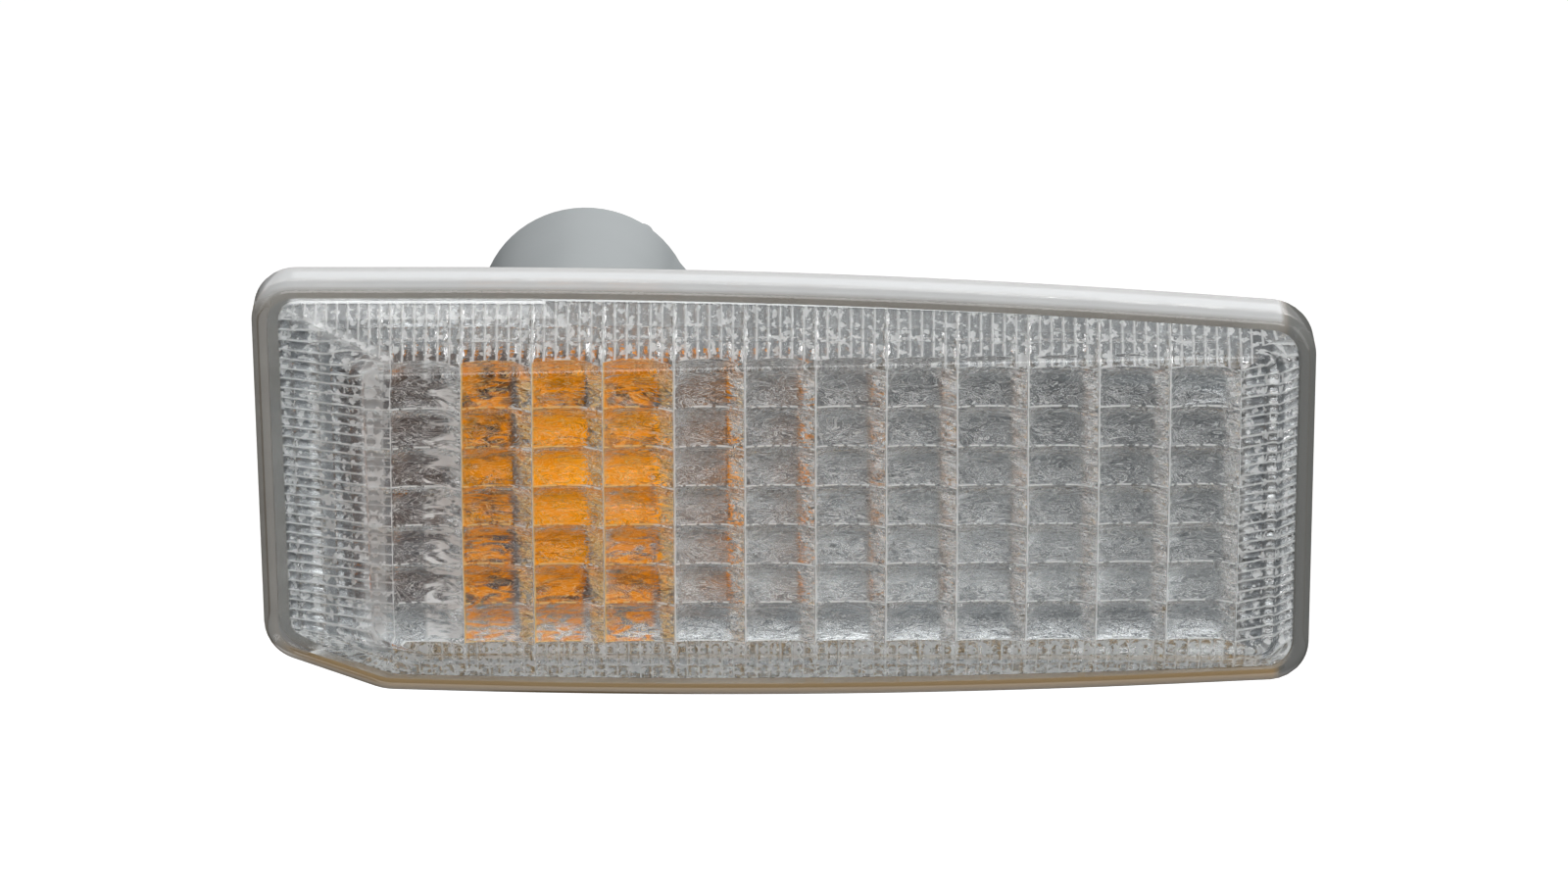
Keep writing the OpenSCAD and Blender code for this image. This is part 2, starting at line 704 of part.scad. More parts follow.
// the five bends of one lead wire, from the filament to its folded end
filament_y = bulb_tip + 1.2 * bulb_radius;
function lead_points(sign) = [
    [sign * filament_reach, filament_y - 0.4, 0],
    [sign * filament_reach, shoulder - 2.7, 0],
    [sign * blade_offset, shoulder + 0.3, 0],
    [sign * blade_offset, base_rear + wire_radius, 0],
    [sign * blade_offset, base_rear + wire_radius, -sign * wire_z],
    [sign * blade_offset, shoulder + 4.2, -sign * wire_z]
];

module lead(sign, r, last) {
    p = lead_points(sign);
    translate([socket_x, 0, socket_z]) {
        for (k = [0:last - 1])
            rod(p[k], p[k + 1], r);
        for (k = [1:last - 1])
            translate(p[k])
                sphere(r = r * 1.03, $fn = 24);
    }
}

module bulb_glass() {
    color([1.0, 0.56, 0.06])
        difference() {
            on_socket() {
                rotate_extrude()
                    polygon(bulb_section());
                translate([-base_width / 2, -base_thick / 2, shoulder])
                    cube([base_width, base_thick, base_rear - shoulder]);
            }
            for (s = [-1, 1])
                translate([socket_x, 0, socket_z]) {
                    rod([s * blade_offset, shoulder + 0.3, 0], [s * blade_offset, base_rear + 1, 0],
                        wire_radius);
                    rod(lead_points(s)[1], lead_points(s)[2], wire_radius);
                    translate(lead_points(s)[2])
                        sphere(r = wire_radius * 1.03, $fn = 24);
                }
        }
}

// coil with a straight tail hooked on each lead
module bulb_filament() {
    color([0.35, 0.35, 0.37])
        translate([socket_x, 0, socket_z]) {
            rod([-filament_reach + wire_radius + 0.35, filament_y, 0],
                [filament_reach - wire_radius - 0.35, filament_y, 0], coil_radius);
            rod([-filament_reach + wire_radius, filament_y, 0],
                [filament_reach - wire_radius, filament_y, 0], 0.12);
        }
}

module bulb_lead_left() {
    color([0.72, 0.71, 0.68])
        lead(-1, wire_radius, 5);
}

module bulb_lead_right() {
    color([0.72, 0.71, 0.68])
        lead(1, wire_radius, 5);
}

lens();
housing();
rim_gasket();
retaining_spring();
bulb_holder();
holder_seal();
contact_left();
contact_right();
bulb_glass();
bulb_filament();
bulb_lead_left();
bulb_lead_right();
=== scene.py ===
"""Looks of the side indicator lamp: clear lens, grey housing, amber bulb, holder and studio.

The frame is the part's own: X along the lamp, Y backwards into the panel, Z up. The CAD solids
keep their shape and get finishes. Only the lens is laid again, with finer pillows and ribs."""
import math

import bmesh
import bpy
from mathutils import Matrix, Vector


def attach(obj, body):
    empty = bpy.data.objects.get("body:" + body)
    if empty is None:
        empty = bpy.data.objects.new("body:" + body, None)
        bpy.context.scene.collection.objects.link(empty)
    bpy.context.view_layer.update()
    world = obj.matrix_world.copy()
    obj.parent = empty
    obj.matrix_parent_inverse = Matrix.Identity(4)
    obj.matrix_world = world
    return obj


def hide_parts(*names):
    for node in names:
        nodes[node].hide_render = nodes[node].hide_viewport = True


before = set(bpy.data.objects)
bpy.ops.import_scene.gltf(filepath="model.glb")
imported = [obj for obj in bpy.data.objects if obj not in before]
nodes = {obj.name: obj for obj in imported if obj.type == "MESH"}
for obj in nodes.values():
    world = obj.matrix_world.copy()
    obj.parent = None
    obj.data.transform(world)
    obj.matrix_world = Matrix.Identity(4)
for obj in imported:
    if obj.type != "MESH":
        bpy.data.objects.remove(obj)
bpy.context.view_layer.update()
MM = 0.001

# outline of the lens seen from the front, in millimetres, clockwise from the upper left corner
OUTLINE = [(-49, 20.5), (3.92, 20.5), (49, 17.1), (48.95, -18.65), (1.96, -20.95),
           (-37.42, -19.75), (-48.42, -15.7)]
OUTLINE_RADII = [3.9, 934.7, 4.3, 3.8, 859.9, 6.0, 4.0]
SMALLEST_RADIUS = 1.2
CORNER_STEPS = 24
# places along Y in millimetres, with the seat at nought, and widths inwards from the outline
SKIRT_REAR = -1.2
SKIRT_WALL = 1.5
FLANGE_FRONT = -3.4
SLOPE_START = -4.3
LEDGE_INSET = 2.6
RIM_FRONT = -6.4
RIM_ROUND_DEPTH = 1.3
RIM_ROUND_WIDTH = 1.2
RIM_WIDTH = 1.45
RIM_LIP = 0.02
RIM_STEPS = 6
# rounded rear edge of the skirt: widths inwards and depths in front of the rear
SKIRT_EDGE = [(0.25, 0), (0.07, 0.12), (0, 0.4)]
WINDOW_FRONT = -10.35
WINDOW_BACK = -8.35
# depth lost by the window for each millimetre towards the right
WEDGE = 0.0119
# edge of the raised window, clockwise from the upper left corner
WINDOW_EDGE = [(-38.6, 13.5), (45.5, 15), (45.5, -14.9), (-33.5, -14.4), (-38.1, -12.9)]
WINDOW_EDGE_RADII = [1.6, 2.2, 2.0, 3.0, 3.0]
WINDOW_EDGE_STEPS = 8
# the outline's corners that those of the window lie beside
WINDOW_CORNERS = [0, 2, 3, 5, 6]
# how far the window's rounded edge has drawn in, and how far behind its front it lies
WINDOW_ROUND = [(0, 0.55), (0.1, 0.3), (0.32, 0.1), (0.7, 0)]
# near its middle the window draws in less: over these distances along and up the lamp
WINDOW_MIDDLE = 3.5
DRAW_FADE_X, DRAW_FADE_Z = 6, 3

# the grid of pillows
GRID_LEFT, GRID_RIGHT = -36.1, 41.9
GRID_BOTTOM, GRID_TOP = -13.65, 12.88
COLUMNS, ROWS = 12, 7
PITCH_X = (GRID_RIGHT - GRID_LEFT) / COLUMNS
PITCH_Z = (GRID_TOP - GRID_BOTTOM) / ROWS
# along a pillow: it rises gently from its left side, falls as gently, and ends in a steep bevel
RISE_SLOPE = 0.45
PEAK_X = 0.42
FALL_SLOPE = 0.16
BEVEL_START = 0.7
BEVEL_FULL = 0.8
BEVEL_SLOPE = 0.9
END_SLOPE = 1.0
PILLOW_SINK = 0.4
# up a pillow
PILLOW_RISE = 0.75
PILLOW_PEAK_Z = 0.55
PILLOW_STEPS_X = 24
PILLOW_STEPS_Z = 16
# width of the narrow wall between a pillow's end and the next one's start
RISER = 0.05

# the ribs on the slopes between the grid and the ledge
RIB_RISE = 0.45
RIBS_PER_COLUMN = 6
RIBS_PER_ROW = 4
# shares of the slope over which the ribs start, soften at a plain line, end and leave a mitre
RIB_START = 0.04
RIB_EDGE = 0.012
RIBS_END = (0.965, 0.99)
RIB_OFF_MITRE = 0.12
# in the map of places a rib's lie this much lower, so that they can't be taken for a pillow's
RIB_SHIFT = 3
# where the ribs start, and the plain lines across them, as shares of the slope
TOP_RIBS = (0.02, [(0.32, 0.37), (0.58, 0.63)])
LEFT_RIBS = (0.12, [(0.31, 0.34), (0.50, 0.64), (0.87, 0.90)])
LOW_RIBS = (0.02, [(0.47, 0.54)])
SLOPE_STEPS = [0, 0.02, 0.06, 0.12, 0.16, 0.24, 0.308, 0.332, 0.358, 0.382, 0.458, 0.488, 0.512,
               0.552, 0.592, 0.628, 0.652, 0.75, 0.858, 0.882, 0.912, 0.965, 0.99, 1]
LONG_MITRE_STEPS = 40
SHORT_MITRE_STEPS = 16
FAN_STEPS = 48
# steps in a rib: beside a mitre, on the slope above or below it and on the one left or right
MITRE_RIB_UP, MITRE_RIB_OUT = 4, 8
FAN_RIB = 4
# points of two patches nearer than this, in metres, become one, and a line that misses the end
# of an edge by this share still meets it
JOIN_WITHIN = 1e-6
# an edge sharper than this, in degrees, isn't smoothed
SHARP = 40
TINY = 1e-9
PARALLEL = 1e-12


def lerp(a, b, t):
    return a + (b - a) * t


def smooth_step(a, b, t):
    t = max(0.0, min(1.0, (t - a) / (b - a)))
    return t * t * (3 - 2 * t)


def hump(t):
    """Nought at both ends of a rib and one in its middle."""
    return 1 - (2 * t - 1) ** 2


def clamped_angle(cosine):
    return math.acos(max(-1, min(1, cosine)))


def outline_points(inset):
    """Points of the outline drawn in by an inset, with every corner rounded."""
    count = len(OUTLINE)
    corners = [Vector(c) for c in OUTLINE]
    points = []
    for i in range(count):
        before = (corners[i] - corners[i - 1]).normalized()
        after = (corners[(i + 1) % count] - corners[i]).normalized()
        a = Vector((before.y, -before.x))
        b = Vector((after.y, -after.x))
        radius = max(OUTLINE_RADII[i] - inset, min(OUTLINE_RADII[i], SMALLEST_RADIUS))
        centre = corners[i] + (a + b) / (1 + a.dot(b)) * (inset + radius)
        turn = clamped_angle(a.dot(b))
        for k in range(CORNER_STEPS + 1):
            t = k / CORNER_STEPS
            out = (math.sin((1 - t) * turn) * a + math.sin(t * turn) * b) / math.sin(turn)
            points.append(centre - radius * out)
    return points


LEDGE = outline_points(LEDGE_INSET)


def ledge_corner(i):
    """Middle of one of the ledge's rounded corners."""
    return LEDGE[i * (CORNER_STEPS + 1) + CORNER_STEPS // 2]


def ledge_at(x=None, z=None, far_side=False):
    """Where the ledge crosses a vertical, at its top, or a level line, at its left end. The far
    side is the bottom or the right end."""
    found = []
    for i, p in enumerate(LEDGE):
        q = LEDGE[(i + 1) % len(LEDGE)]
        if x is not None and (p.x - x) * (q.x - x) <= 0 and abs(p.x - q.x) > TINY:
            found.append(p.y + (x - p.x) / (q.x - p.x) * (q.y - p.y))
        if z is not None and (p.y - z) * (q.y - z) <= 0 and abs(p.y - q.y) > TINY:
            found.append(p.x + (z - p.y) / (q.y - p.y) * (q.x - p.x))
    if x is not None:
        return min(found) if far_side else max(found)
    return max(found) if far_side else min(found)


def cast(start, way):
    """Where a line from a point inside meets the ledge. Edges along the line are left out."""
    for i, p in enumerate(LEDGE):
        edge = LEDGE[(i + 1) % len(LEDGE)] - p
        det = way.x * -edge.y + edge.x * way.y
        if abs(det) < PARALLEL:
            continue
        r = p - start
        t = (r.x * -edge.y + edge.x * r.y) / det
        s = (way.x * r.y - way.y * r.x) / det
        if t > 0 and -JOIN_WITHIN <= s <= 1 + JOIN_WITHIN:
            return start + way * t
    return start + way


def corner_normal(i):
    """Outward direction at one of the ledge's points, between those of the edges beside it."""
    way = Vector((0, 0))
    for edge in (LEDGE[i] - LEDGE[i - 1], LEDGE[(i + 1) % len(LEDGE)] - LEDGE[i]):
        if edge.length > TINY:
            way += Vector((-edge.y, edge.x)).normalized()
    return way.normalized()


def nearest_outward(p):
    """Outward direction of the ledge at a point on it."""
    best, way = 1e9, None
    for i, a in enumerate(LEDGE):
        after = (i + 1) % len(LEDGE)
        edge = LEDGE[after] - a
        if edge.length < TINY:
            continue
        t = max(0, min(1, (p - a).dot(edge) / edge.length_squared))
        off = (a + edge * t - p).length
        if off < best:
            best = off
            way = (corner_normal(i) * (1 - t) + corner_normal(after) * t).normalized()
    return way


def pillow_slope(u):
    """Slope of a pillow along the lamp."""
    if u < PEAK_X:
        return RISE_SLOPE * (1 - u / PEAK_X)
    if u < BEVEL_START:
        return -FALL_SLOPE * (u - PEAK_X) / (BEVEL_START - PEAK_X)
    bevel = lerp(FALL_SLOPE, BEVEL_SLOPE, smooth_step(BEVEL_START, BEVEL_FULL, u))
    return -bevel - (END_SLOPE - BEVEL_SLOPE) * max(0, (u - BEVEL_FULL) / (1 - BEVEL_FULL))


def pillow_profile():
    """Heights of a pillow from its left side to its right, which ends at nought."""
    fine = 10
    heights = [0.0]
    for i in range(PILLOW_STEPS_X * fine):
        u = 1 - (i + 0.5) / (PILLOW_STEPS_X * fine)
        heights.append(heights[-1] - pillow_slope(u) * PITCH_X / (PILLOW_STEPS_X * fine))
    return heights[::-fine]


ALONG_PILLOW = pillow_profile()


def back_at(x, i, v):
    """Depth of the window's back at one of a pillow's steps, and at a share of its height."""
    side = PILLOW_PEAK_Z if v < PILLOW_PEAK_Z else 1 - PILLOW_PEAK_Z
    height = ALONG_PILLOW[i] + PILLOW_RISE * (1 - ((PILLOW_PEAK_Z - v) / side) ** 2) - PILLOW_SINK
    return WINDOW_BACK + WEDGE * x + height


def rib_height(t, ribs):
    """How high the ribs stand along a slope."""
    start, plain = ribs
    height = smooth_step(start, start + RIB_START, t) * (1 - smooth_step(*RIBS_END, t))
    for low, high in plain:
        height *= 1 - smooth_step(low - RIB_EDGE, low + RIB_EDGE, t) * (
            1 - smooth_step(high - RIB_EDGE, high + RIB_EDGE, t))
    return height


class Quilt:
    """The back of the lens, laid from patches whose edges share their points."""

    def __init__(self):
        self.bm = bmesh.new()
        self.map = self.bm.loops.layers.uv.new("pillow")

    def patch(self, rows, places):
        """Rows of points, each row with the same number, and their places in a pillow."""
        laid = [[self.bm.verts.new(Vector(p) * MM) for p in row] for row in rows]
        for j in range(len(laid) - 1):
            for i in range(len(laid[0]) - 1):
                at = [(j, i), (j, i + 1), (j + 1, i + 1), (j + 1, i)]
                face = self.bm.faces.new([laid[b][a] for b, a in at])
                for loop, (b, a) in zip(face.loops, at):
                    loop[self.map].uv = places(b, a, j, i)

    def slope(self, inner, outer, steps, ribs):
        """Ribbed slope between a line of (x, y, z, t) points at the window and one at the
        ledge. A step is a place counted in ribs."""
        rows = []
        for v in SLOPE_STEPS:
            row = []
            for p, q, step in zip(inner, outer, steps):
                at = [lerp(p[n], q[n], v) for n in range(3)]
                off_mitre = 1 if p[3] == 0 else smooth_step(0, RIB_OFF_MITRE, v)
                height = rib_height(lerp(p[3], 1, v), ribs)
                at[1] += RIB_RISE * height * off_mitre * hump(step % 1)
                row.append(at)
            rows.append(row)

        def places(b, a, j, i):
            """Place across a rib and up the slope."""
            return (steps[i] % 1 + (steps[a] - steps[i]) - RIB_SHIFT, SLOPE_STEPS[b])
        self.patch(rows, places)

    def slope_up(self, line, per_rib, ribs, far_side=False):
        """Slope from a line straight up to the ledge, or straight down on the far side."""
        outer = [(p[0], SLOPE_START, ledge_at(x=p[0], far_side=far_side)) for p in line]
        self.slope(line, outer, [k / per_rib for k in range(len(line))], ribs)

    def slope_out(self, line, per_rib, ribs, far_side=False):
        """Slope from a line to the left end of the ledge, or to its right end."""
        outer = [(ledge_at(z=p[2], far_side=far_side), SLOPE_START, p[2]) for p in line]
        self.slope(line, outer, [k / per_rib for k in range(len(line))], ribs)


def build_lens_back():
    """The pillows, the four ribbed slopes, the three mitres and the fan at the cut corner."""
    quilt = Quilt()
    sx, sz = PILLOW_STEPS_X, PILLOW_STEPS_Z
    # each pillow starts beside the last one's end, so that a narrow riser joins them
    across = [(GRID_LEFT + (c + i / sx) * PITCH_X + (RISER if i == 0 and c > 0 else 0), i)
              for c in range(COLUMNS) for i in range(sx + 1)]
    levels = [(GRID_BOTTOM + j * PITCH_Z / sz, (j % sz) / sz) for j in range(ROWS * sz + 1)]

    def places(b, a, j, i):
        """Place in a pillow. The riser counts as its left side."""
        along = 0 if across[i][1] == sx else across[a][1] / sx
        return (along, (b - j + j % sz) / sz)
    quilt.patch([[(x, back_at(x, i, v), z) for x, i in across] for z, v in levels], places)

    def mitre(x, z, i, corner, steps):
        """Line from a corner of the grid to one of the ledge's."""
        end = ledge_corner(corner)
        return [(lerp(x, end.x, k / steps), lerp(back_at(x, i, 0), SLOPE_START, k / steps),
                 lerp(z, end.y, k / steps), k / steps) for k in range(steps + 1)]

    rib_z = sz // RIBS_PER_ROW
    ribs_across = [i / sx * RIBS_PER_COLUMN for x, i in across]
    for z, ribs, far_side in ((GRID_TOP, TOP_RIBS, False), (GRID_BOTTOM, LOW_RIBS, True)):
        line = [(x, back_at(x, i, 0), z, 0) for x, i in across]
        outer = [(x, SLOPE_START, ledge_at(x=x, far_side=far_side)) for x, i in across]
        quilt.slope(line, outer, ribs_across, ribs)
    for x, i, ribs, far_side in ((GRID_LEFT, 0, LEFT_RIBS, False),
                                 (GRID_RIGHT, sx, LOW_RIBS, True)):
        line = [(x, back_at(x, i, v), z, 0) for z, v in levels]
        quilt.slope_out(line, rib_z, ribs, far_side)
    top_left = mitre(GRID_LEFT, GRID_TOP, 0, 0, LONG_MITRE_STEPS)
    quilt.slope_up(top_left, MITRE_RIB_UP, TOP_RIBS)
    quilt.slope_out(top_left, MITRE_RIB_OUT, LEFT_RIBS)
    top_right = mitre(GRID_RIGHT, GRID_TOP, sx, 2, SHORT_MITRE_STEPS)
    quilt.slope_up(top_right, MITRE_RIB_UP, TOP_RIBS)
    quilt.slope_out(top_right, MITRE_RIB_OUT, LOW_RIBS, True)
    low_right = mitre(GRID_RIGHT, GRID_BOTTOM, sx, 3, SHORT_MITRE_STEPS)
    quilt.slope_up(low_right, MITRE_RIB_UP, LOW_RIBS, True)
    quilt.slope_out(low_right, MITRE_RIB_OUT, LOW_RIBS, True)

    # the fan takes even steps along a straight chord, then goes out to the ledge
    hub = Vector((GRID_LEFT, GRID_BOTTOM))
    start = Vector((ledge_at(z=GRID_BOTTOM), GRID_BOTTOM))
    end = Vector((GRID_LEFT, ledge_at(x=GRID_LEFT, far_side=True)))
    outer = [cast(hub, start.lerp(end, k / FAN_STEPS) - hub) for k in range(FAN_STEPS + 1)]
    outer[0], outer[-1] = start, end
    inner = [(hub.x, back_at(hub.x, 0, 0), hub.y, 0)] * (FAN_STEPS + 1)
    quilt.slope(inner, [(p.x, SLOPE_START, p.y) for p in outer],
                [k / FAN_RIB for k in range(FAN_STEPS + 1)], LOW_RIBS)
    bmesh.ops.remove_doubles(quilt.bm, verts=quilt.bm.verts, dist=JOIN_WITHIN)
    return quilt.bm


def open_edge(bm):
    """Points of the quilt's open edge, which is the ledge, in order from its leftmost point."""
    ring = [e for e in bm.edges if e.is_boundary]
    start = min({v for e in ring for v in e.verts}, key=lambda v: (v.co.x, -v.co.z))
    loop, came = [start], None
    while True:
        here = loop[-1]
        nexts = [e for e in here.link_edges if e.is_boundary and e is not came]
        if came is None:
            nexts.sort(key=lambda e: -e.other_vert(here).co.z)
        came = nexts[0]
        other = came.other_vert(here)
        if other is start:
            return loop
        loop.append(other)


def rounded_window():
    """Closed line of the window's edge, and where each corner's middle lies in it."""
    line, middles = [], []
    count = len(WINDOW_EDGE)
    for i in range(count):
        p = Vector(WINDOW_EDGE[i])
        a = (Vector(WINDOW_EDGE[i - 1]) - p).normalized()
        b = (Vector(WINDOW_EDGE[(i + 1) % count]) - p).normalized()
        reach = WINDOW_EDGE_RADII[i] / math.tan(clamped_angle(a.dot(b)) / 2)
        first, last = p + a * reach, p + b * reach
        middles.append(len(line) + WINDOW_EDGE_STEPS // 2)
        for k in range(WINDOW_EDGE_STEPS + 1):
            t = k / WINDOW_EDGE_STEPS
            line.append(first * (1 - t) ** 2 + p * 2 * t * (1 - t) + last * t ** 2)
    return line, middles


def lengths_along(points):
    """Distance from the first point of a line to each of them."""
    lengths = [0]
    for p, q in zip(points, points[1:]):
        lengths.append(lengths[-1] + (q - p).length)
    return lengths


def window_beside(flat):
    """For each point of the ledge, the point of the window's edge that lies beside it."""
    count = len(flat)
    edge, middles = rounded_window()
    marks = [ledge_corner(i) for i in WINDOW_CORNERS]
    starts = [min(range(count), key=lambda i, m=m: (flat[i] - m).length) for m in marks]
    beside = [None] * count
    for s, first in enumerate(starts):
        after = (s + 1) % len(starts)
        span = (starts[after] - first) % count
        side_steps = (middles[after] - middles[s]) % len(edge)
        side = [edge[(middles[s] + k) % len(edge)] for k in range(side_steps + 1)]
        side_lengths = lengths_along(side)
        lengths = lengths_along([flat[(first + k) % count] for k in range(span + 1)])
        for k in range(span):
            want = side_lengths[-1] * lengths[k] / lengths[-1]
            j = 0
            while j < len(side_lengths) - 2 and side_lengths[j + 1] < want:
                j += 1
            room = max(TINY, side_lengths[j + 1] - side_lengths[j])
            beside[(first + k) % count] = side[j].lerp(side[j + 1], (want - side_lengths[j]) / room)
    return beside


def drawn_in(p, draw):
    """A point of the window's edge moved towards the window's middle."""
    off = abs(p.x - WINDOW_MIDDLE)
    x = p.x - draw * (1 if p.x > WINDOW_MIDDLE else -1) * smooth_step(0, DRAW_FADE_X, off)
    z = p.y - draw * (1 if p.y > 0 else -1) * smooth_step(0, DRAW_FADE_Z, abs(p.y))
    return Vector((x, z))


FRONT_SLOT, BACK_SLOT, RIM_SLOT = 0, 1, 2


def build_lens():
    """The whole lens as one closed mesh: from the back round the skirt and rim to the front."""
    bm = build_lens_back()
    for face in bm.faces:
        face.material_index = BACK_SLOT
    last = open_edge(bm)
    flat = [Vector((v.co.x, v.co.z)) / MM for v in last]
    outward = [nearest_outward(p) for p in flat]
    count = len(flat)

    def ring_at(inset, y):
        return [bm.verts.new(Vector((p.x + n.x * (LEDGE_INSET - inset), y,
                                     p.y + n.y * (LEDGE_INSET - inset))) * MM)
                for p, n in zip(flat, outward)]

    def join(a, b, slot):
        for i in range(count):
            j = (i + 1) % count
            bm.faces.new((a[i], a[j], b[j], b[i])).material_index = slot

    rings = [(LEDGE_INSET, FLANGE_FRONT), (SKIRT_WALL, FLANGE_FRONT), (SKIRT_WALL, SKIRT_REAR)]
    rings += [(inset, SKIRT_REAR - depth) for inset, depth in SKIRT_EDGE]
    rings.append((0, RIM_FRONT + RIM_ROUND_DEPTH))
    for k in range(1, RIM_STEPS + 1):
        a = math.pi / 2 * k / RIM_STEPS
        rings.append((RIM_ROUND_WIDTH * (1 - math.cos(a)),
                      RIM_FRONT + RIM_ROUND_DEPTH * (1 - math.sin(a))))
    rings.append((RIM_WIDTH, RIM_FRONT + RIM_LIP))
    for inset, y in rings:
        ring = ring_at(inset, y)
        join(last, ring, RIM_SLOT)
        last = ring
    beside = window_beside(flat)
    for draw, lift in WINDOW_ROUND:
        points = [drawn_in(p, draw) for p in beside]
        ring = [bm.verts.new(Vector((p.x, WINDOW_FRONT + lift + WEDGE * p.x, p.y)) * MM)
                for p in points]
        join(last, ring, FRONT_SLOT)
        last = ring
    bm.faces.new(last).material_index = FRONT_SLOT
    bmesh.ops.recalc_face_normals(bm, faces=bm.faces)
    if bm.calc_volume(signed=True) < 0:
        bmesh.ops.reverse_faces(bm, faces=bm.faces)
    for face in bm.faces:
        face.smooth = True
    for edge in bm.edges:
        if len(edge.link_faces) == 2 and edge.calc_face_angle(0) > math.radians(SHARP):
            edge.smooth = False
    return mesh_object("clear_lens", bm)


def mesh_object(name, bm):
    mesh = bpy.data.meshes.new(name)
    bm.to_mesh(mesh)
    bm.free()
    obj = bpy.data.objects.new(name, mesh)
    bpy.context.collection.objects.link(obj)
    return obj


class Nodes:
    """Short ways to add nodes to a tree. Any input is a plain value or another node's socket."""

    def __init__(self, owner):
        owner.use_nodes = True
        self.tree = owner.node_tree
        self.tree.nodes.clear()

    def node(self, kind, inputs=None, **settings):
        """A node of a kind, with its inputs by name or number, and its other settings."""
        node = self.tree.nodes.new("ShaderNode" + kind)
        for key, value in settings.items():
            setattr(node, key, value)
        for key, value in (inputs or {}).items():
            if isinstance(value, bpy.types.NodeSocket):
                self.tree.links.new(value, node.inputs[key])
            else:
                node.inputs[key].default_value = value
        return node

    def shader(self, kind, inputs=None):
        return self.node(kind, inputs).outputs[0]

    def mix(self, share, a, b):
        """Two shaders, of which a share of nought shows the first one alone."""
        return self.shader("MixShader", {0: share, 1: a, 2: b})

    def parts(self, vector):
        """The three parts of a direction or a place."""
        return self.node("SeparateXYZ", {0: vector}).outputs

    def calc(self, operation, a, b=0.5):
        return self.node("Math", {0: a, 1: b}, operation=operation).outputs[0]

    def chain(self, operation, values):
        """One calculation carried through several values."""
        total = values[0]
        for value in values[1:]:
            total = self.calc(operation, total, value)
        return total

    def times(self, *values):
        return self.chain("MULTIPLY", values)

    def plus(self, *values):
        return self.chain("ADD", values)

    def most(self, *values):
        return self.chain("MAXIMUM", values)

    def minus(self, a, b):
        return self.calc("SUBTRACT", a, b)

    def spread(self, value, low, high, to_low=0.0, to_high=1.0):
        """A value between two limits, spread between two others."""
        return self.node("MapRange", {"Value": value, "From Min": low, "From Max": high,
                                      "To Min": to_low, "To Max": to_high}).outputs["Result"]

    def fade(self, value, near, far):
        """One up to a near value, falling to nought at a far one."""
        return self.spread(value, far, near)

    def band(self, value, level, width):
        """One where a value is near a level, and nought further off than the width."""
        return self.spread(self.calc("ABSOLUTE", self.minus(value, level)), width, width * 0.3)

    def between(self, value, low, high, soft):
        """One between two values, falling to nought within a soft edge outside them."""
        return self.times(self.fade(value, high, high + soft), self.fade(value, low, low - soft))

    def fold(self, share):
        """How far a share is from nought or one, whichever is nearer."""
        return self.calc("MINIMUM", share, self.minus(1, share))


# where a noise gives the low and the high tone
TONE_LOW, TONE_HIGH = 0.3, 0.7


class Finish(Nodes):
    """A material."""

    def __init__(self, name):
        self.mat = bpy.data.materials.new(name)
        super().__init__(self.mat)

    def place(self, scale=(1, 1, 1), slant=0):
        """Place on the object, stretched by a scale and turned about Y by a slant in degrees."""
        where = self.node("TexCoord").outputs["Object"]
        turn = (0, math.radians(slant), 0)
        return self.node("Mapping", {"Vector": where, "Scale": scale,
                                     "Rotation": turn}).outputs["Vector"]

    def facing(self):
        """The three parts of the direction that the surface faces."""
        return self.parts(self.node("TexCoord").outputs["Normal"])

    def noise(self, place, scale=1, detail=2, distortion=0):
        return self.node("TexNoise", {"Vector": place, "Scale": scale, "Detail": detail,
                                      "Distortion": distortion}).outputs["Fac"]

    def tone(self, value, low, high):
        """A colour between two, by a noise's value."""
        ramp = self.node("ValToRGB", {"Fac": value})
        stops = ((TONE_LOW, low), (TONE_HIGH, high))
        for end, (position, colour) in zip(ramp.color_ramp.elements, stops):
            end.position = position
            end.color = (*colour, 1)
        return ramp.outputs["Color"]

    def blend(self, share, a, b, how="MIX"):
        """Two colours, of which a share of nought shows the first one alone."""
        return self.node("MixRGB", {0: share, 1: a, 2: b}, blend_type=how).outputs[0]

    def done(self, shader):
        self.node("OutputMaterial", {0: shader})
        return self.mat


# scale that gives an object's places in millimetres
MILLIMETRES = (1000, 1000, 1000)
CLEAR_TONE = (0.985, 0.99, 0.99, 1)
CLEAR_ROUGHNESS = 0.02
CLEAR_IOR = 1.49
PLASTIC_IOR = 1.5
STRAIGHT_THROUGH = (0.97, 0.975, 0.975, 1)


def glass(f, **inputs):
    """The lens's clear plastic."""
    return f.shader("BsdfPrincipled", {"Base Color": CLEAR_TONE, "Roughness": CLEAR_ROUGHNESS,
                                       "IOR": CLEAR_IOR, "Transmission Weight": 1, **inputs})


def lit_through(f, skin):
    """Ends a clear finish. Shadow and diffuse rays go straight through it, which lets light in
    without noise."""
    path = f.node("LightPath").outputs
    clear = f.shader("BsdfTransparent", {"Color": STRAIGHT_THROUGH})
    return f.done(f.mix(f.most(path["Is Shadow Ray"], path["Is Diffuse Ray"]), skin, clear))


def front_plastic():
    f = Finish("clear_lens_front")
    return lit_through(f, glass(f))


